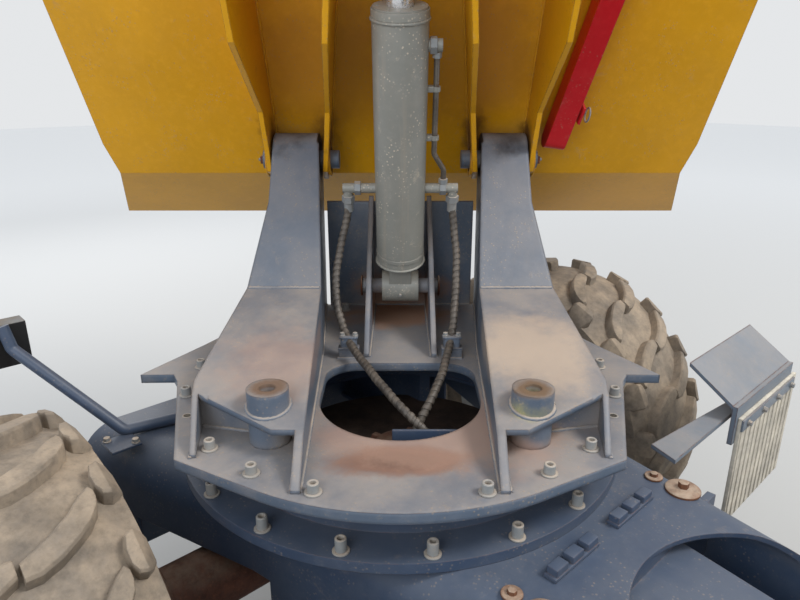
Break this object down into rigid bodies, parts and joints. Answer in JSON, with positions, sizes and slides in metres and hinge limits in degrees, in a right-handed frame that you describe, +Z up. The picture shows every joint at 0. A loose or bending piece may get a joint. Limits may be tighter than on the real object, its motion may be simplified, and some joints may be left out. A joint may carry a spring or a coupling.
{
  "type": "swivel site dumper",
  "caption": "Four-wheeled articulated site dumper with a slewing, forward-tipping skip, shown raised and turned to the right, with a folding roll bar and seat at the rear.",
  "frame": {"origin": "on the floor, under the steering pivot between the front and rear frames", "axes": "+Y the machine's forward direction, +X its right, +Z up"},
  "size_m": [2.9164, 5.3113, 3.3106],
  "materials": {
    "skip_yellow": "faded gloss yellow paint, muddy and rust stained",
    "console_grey": "dusty blue-grey paint",
    "frame_grey": "dark blue-grey paint, worn",
    "cover_yellow": "gloss yellow paint",
    "prop_red": "red paint",
    "ram_grey": "blue-grey paint, mud splashed",
    "rod_chrome": "polished rod",
    "bare_steel": "oxidised steel",
    "cast": "rusty cast iron",
    "tread_rubber": "dusty rubber",
    "rim_paint": "pale grey paint",
    "hose_rubber": "spiral wrapped rubber",
    "flap_rubber": "pale dusty rubber",
    "black_trim": "black plastic",
    "seat_vinyl": "black vinyl",
    "lamp_clear": "clear lamp",
    "lamp_red": "red lamp",
    "beacon_amber": "amber dome"
  },
  "bodies": {
    "rear_frame": {"rear_frame": "frame_grey", "rear_axle": "cast", "platform": "frame_grey", "steps": "frame_grey", "cowl": "cover_yellow", "steering_column": "black_trim", "steering_wheel": "black_trim", "seat": "seat_vinyl", "rear_mudguards": "frame_grey", "tanks": "frame_grey", "engine_block": "cast", "counterweight": "frame_grey", "exhaust": "bare_steel", "rear_lamps": "lamp_red", "rops_posts": "frame_grey"},
    "bonnet": {"bonnet": "cover_yellow"},
    "roll_bar": {"rops_hoop": "frame_grey", "beacon": "beacon_amber"},
    "steering_ram_barrel": {"steering_ram_barrel": "ram_grey"},
    "steering_ram_rod": {"steering_ram_rod": "rod_chrome"},
    "front_frame": {"front_frame": "frame_grey", "front_axle": "cast", "slew_ring_lower": "frame_grey", "lamp_stalks": "frame_grey", "front_lamps": "lamp_clear", "front_mudguards": "frame_grey", "mudflaps": "flap_rubber"},
    "console": {"console_plate": "console_grey", "slew_ring_upper": "console_grey", "console_arms": "console_grey", "console_ribs": "console_grey", "hose_clamps": "console_grey", "hose_left": "hose_rubber", "hose_right": "hose_rubber"},
    "ram_barrel": {"ram_barrel": "ram_grey", "ram_pipe": "bare_steel"},
    "ram_rod": {"ram_rod": "rod_chrome"},
    "skip": {"skip_shell": "skip_yellow", "skip_rim": "skip_yellow", "skip_brackets": "skip_yellow"},
    "prop": {"skip_prop": "prop_red"},
    "wheel_front_left": {"tyre_front_left": "tread_rubber", "rim_front_left": "rim_paint"},
    "wheel_front_right": {"tyre_front_right": "tread_rubber", "rim_front_right": "rim_paint"},
    "wheel_rear_left": {"tyre_rear_left": "tread_rubber", "rim_rear_left": "rim_paint"},
    "wheel_rear_right": {"tyre_rear_right": "tread_rubber", "rim_rear_right": "rim_paint"}
  },
  "joints": [
    {"name": "steer", "type": "hinge", "parent": "rear_frame", "child": "front_frame", "pos_m": [0, 0, 0.67], "axis": [0, 0, 1], "range_deg": [-35, 35]},
    {"name": "slew", "type": "hinge", "parent": "front_frame", "child": "console", "pos_m": [0, 1.15, 1], "axis": [0, 0, 1], "range_deg": [-47, 133]},
    {"name": "tip", "type": "hinge", "parent": "console", "child": "skip", "pos_m": [0.3751, 1.55225, 1.6], "axis": [-0.7314, 0.682, 0], "range_deg": [-74, 0]},
    {"name": "ram_swing", "type": "hinge", "parent": "console", "child": "ram_barrel", "pos_m": [0.28644, 1.45717, 1.2], "axis": [-0.7314, 0.682, 0], "range_deg": [-67, 1], "deforming": ["hose_left", "hose_right"]},
    {"name": "ram_extend", "type": "slide", "parent": "ram_barrel", "child": "ram_rod", "axis": [-0.2107, -0.226, 0.9511], "range_m": [-0.48, 0.01]},
    {"name": "prop_swing", "type": "hinge", "parent": "skip", "child": "prop", "pos_m": [0.55073, 0.75671, 2.54353], "axis": [-0.7731, 0.6183, 0.1412], "range_deg": [0, 28]},
    {"name": "steer_ram_swing", "type": "hinge", "parent": "rear_frame", "child": "steering_ram_barrel", "pos_m": [0.17, -0.8, 0.66], "axis": [0, 0, 1], "range_deg": [-2, 2]},
    {"name": "steer_ram_extend", "type": "slide", "parent": "steering_ram_barrel", "child": "steering_ram_rod", "axis": [0, 1, 0], "range_m": [-0.1, 0.1]},
    {"name": "bonnet_hinge", "type": "hinge", "parent": "rear_frame", "child": "bonnet", "pos_m": [0, -2.316, 0.93], "axis": [1, 0, 0], "range_deg": [0, 50]},
    {"name": "rops_fold", "type": "hinge", "parent": "rear_frame", "child": "roll_bar", "pos_m": [0, -1.53, 2], "axis": [-1, 0, 0], "range_deg": [-110, 0]},
    {"name": "roll_front_left", "type": "hinge", "parent": "front_frame", "child": "wheel_front_left", "pos_m": [-0.99, 1.32, 0.585], "axis": [1, 0, 0], "continuous": true},
    {"name": "roll_front_right", "type": "hinge", "parent": "front_frame", "child": "wheel_front_right", "pos_m": [0.99, 1.32, 0.585], "axis": [1, 0, 0], "continuous": true},
    {"name": "roll_rear_left", "type": "hinge", "parent": "rear_frame", "child": "wheel_rear_left", "pos_m": [-0.99, -1.32, 0.585], "axis": [1, 0, 0], "continuous": true},
    {"name": "roll_rear_right", "type": "hinge", "parent": "rear_frame", "child": "wheel_rear_right", "pos_m": [0.99, -1.32, 0.585], "axis": [1, 0, 0], "continuous": true}
  ],
  "couplings": [
    {"joint": "ram_swing", "follows": "tip", "ratio": 0.89778},
    {"joint": "ram_extend", "follows": "tip", "m_per_rad": 0.36727},
    {"joint": "steer_ram_swing", "follows": "steer", "ratio": 0.0494},
    {"joint": "steer_ram_extend", "follows": "steer", "m_per_rad": 0.1612}
  ]
}
